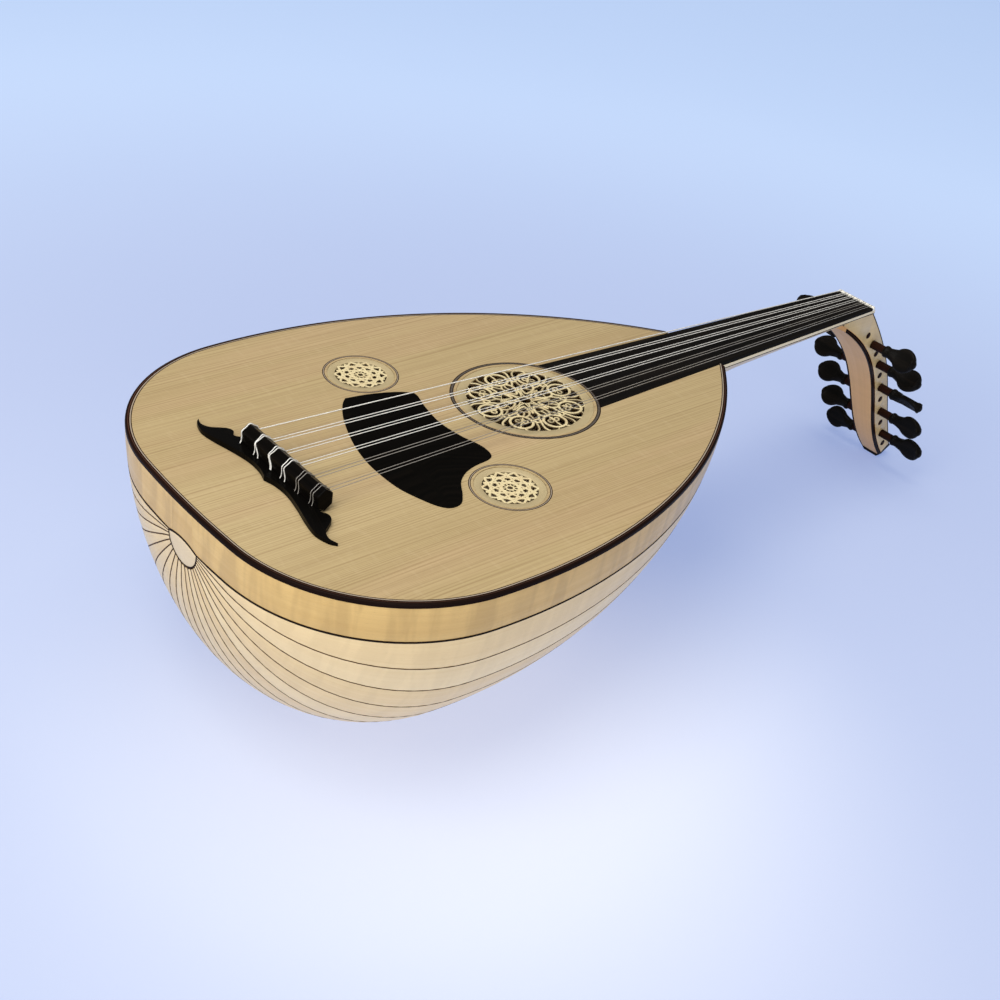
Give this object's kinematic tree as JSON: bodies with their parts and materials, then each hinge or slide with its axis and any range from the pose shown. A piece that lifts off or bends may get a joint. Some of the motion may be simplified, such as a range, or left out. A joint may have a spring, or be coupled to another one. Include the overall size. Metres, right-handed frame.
{
  "type": "oud",
  "caption": "Short-necked fretless lute with a ribbed round bowl, pierced rosettes, tie-block bridge, paired strings and a bent-back pegbox with turning pegs.",
  "frame": {"origin": "on the surface the oud rests on, midway between the tail and the pegbox tip, on the centre plane", "axes": "+X from the tail to the head, +Y to the bass side, +Z out of the soundboard, which is level"},
  "size_m": [0.758, 0.3318, 0.1981],
  "materials": {
    "rib_maple": "satin",
    "band_maple": "satin",
    "cap_maple": "satin",
    "inner_spruce": "raw",
    "soundboard_spruce": "satin",
    "edge_wood": "gloss",
    "rosette_wood": "satin",
    "pickguard_ebony": "satin",
    "bridge_ebony": "gloss",
    "fingerboard_ebony": "satin",
    "neck_maple": "satin",
    "nut_bone": "polished",
    "cheek_maple": "satin",
    "back_maple": "satin",
    "end_cap_ebony": "gloss",
    "peg_ebony": "satin",
    "plain_string": "gloss",
    "wound_string": "polished"
  },
  "bodies": {
    "oud": {"brace_1": "inner_spruce", "brace_2": "inner_spruce", "brace_3": "inner_spruce", "brace_4": "inner_spruce", "bridge": "bridge_ebony", "course_fifth": "wound_string", "course_first": "plain_string", "course_fourth": "wound_string", "course_second": "plain_string", "course_sixth": "wound_string", "course_third": "wound_string", "edge_binding": "edge_wood", "fingerboard": "fingerboard_ebony", "neck": "neck_maple", "neck_block": "inner_spruce", "nut": "nut_bone", "pegbox_back": "back_maple", "pegbox_cheek_bass": "cheek_maple", "pegbox_cheek_treble": "cheek_maple", "pegbox_end_cap": "end_cap_ebony", "pickguard": "pickguard_ebony", "rib_01": "rib_maple", "rib_02": "rib_maple", "rib_03": "rib_maple", "rib_04": "rib_maple", "rib_05": "rib_maple", "rib_06": "rib_maple", "rib_07": "rib_maple", "rib_08": "rib_maple", "rib_09": "rib_maple", "rib_10": "rib_maple", "rib_11": "rib_maple", "rib_12": "rib_maple", "rib_13": "rib_maple", "rib_14": "rib_maple", "rib_15": "rib_maple", "rib_16": "rib_maple", "rib_17": "rib_maple", "rib_18": "rib_maple", "rib_19": "rib_maple", "rosette_bass": "rosette_wood", "rosette_main": "rosette_wood", "rosette_treble": "rosette_wood", "side_band_bass": "band_maple", "side_band_treble": "band_maple", "soundboard": "soundboard_spruce", "tail_block": "inner_spruce", "tail_cap": "cap_maple", "tail_insert": "band_maple"},
    "peg_01": {"peg_01": "peg_ebony"},
    "peg_02": {"peg_02": "peg_ebony"},
    "peg_03": {"peg_03": "peg_ebony"},
    "peg_04": {"peg_04": "peg_ebony"},
    "peg_05": {"peg_05": "peg_ebony"},
    "peg_06": {"peg_06": "peg_ebony"},
    "peg_07": {"peg_07": "peg_ebony"},
    "peg_08": {"peg_08": "peg_ebony"},
    "peg_09": {"peg_09": "peg_ebony"},
    "peg_10": {"peg_10": "peg_ebony"},
    "peg_11": {"peg_11": "peg_ebony"}
  },
  "joints": [
    {"name": "peg_01_turn", "type": "hinge", "parent": "oud", "child": "peg_01", "pos_m": [0.27406, 0, 0.15356], "axis": [0, 1, 0], "range_deg": [-600, 120]},
    {"name": "peg_02_turn", "type": "hinge", "parent": "oud", "child": "peg_02", "pos_m": [0.28588, 0, 0.1422], "axis": [0, 1, 0], "range_deg": [-600, 120]},
    {"name": "peg_03_turn", "type": "hinge", "parent": "oud", "child": "peg_03", "pos_m": [0.29688, 0, 0.13004], "axis": [0, 1, 0], "range_deg": [-600, 120]},
    {"name": "peg_04_turn", "type": "hinge", "parent": "oud", "child": "peg_04", "pos_m": [0.30688, 0, 0.11705], "axis": [0, 1, 0], "range_deg": [-600, 120]},
    {"name": "peg_05_turn", "type": "hinge", "parent": "oud", "child": "peg_05", "pos_m": [0.31576, 0, 0.10327], "axis": [0, 1, 0], "range_deg": [-600, 120]},
    {"name": "peg_06_turn", "type": "hinge", "parent": "oud", "child": "peg_06", "pos_m": [0.32365, 0, 0.08889], "axis": [0, 1, 0], "range_deg": [-600, 120]},
    {"name": "peg_07_turn", "type": "hinge", "parent": "oud", "child": "peg_07", "pos_m": [0.33093, 0, 0.0742], "axis": [0, 1, 0], "range_deg": [-600, 120]},
    {"name": "peg_08_turn", "type": "hinge", "parent": "oud", "child": "peg_08", "pos_m": [0.33817, 0, 0.05948], "axis": [0, 1, 0], "range_deg": [-600, 120]},
    {"name": "peg_09_turn", "type": "hinge", "parent": "oud", "child": "peg_09", "pos_m": [0.34583, 0, 0.04498], "axis": [0, 1, 0], "range_deg": [-600, 120]},
    {"name": "peg_10_turn", "type": "hinge", "parent": "oud", "child": "peg_10", "pos_m": [0.35415, 0, 0.03085], "axis": [0, 1, 0], "range_deg": [-600, 120]},
    {"name": "peg_11_turn", "type": "hinge", "parent": "oud", "child": "peg_11", "pos_m": [0.36323, 0, 0.01719], "axis": [0, 1, 0], "range_deg": [-600, 120]}
  ]
}
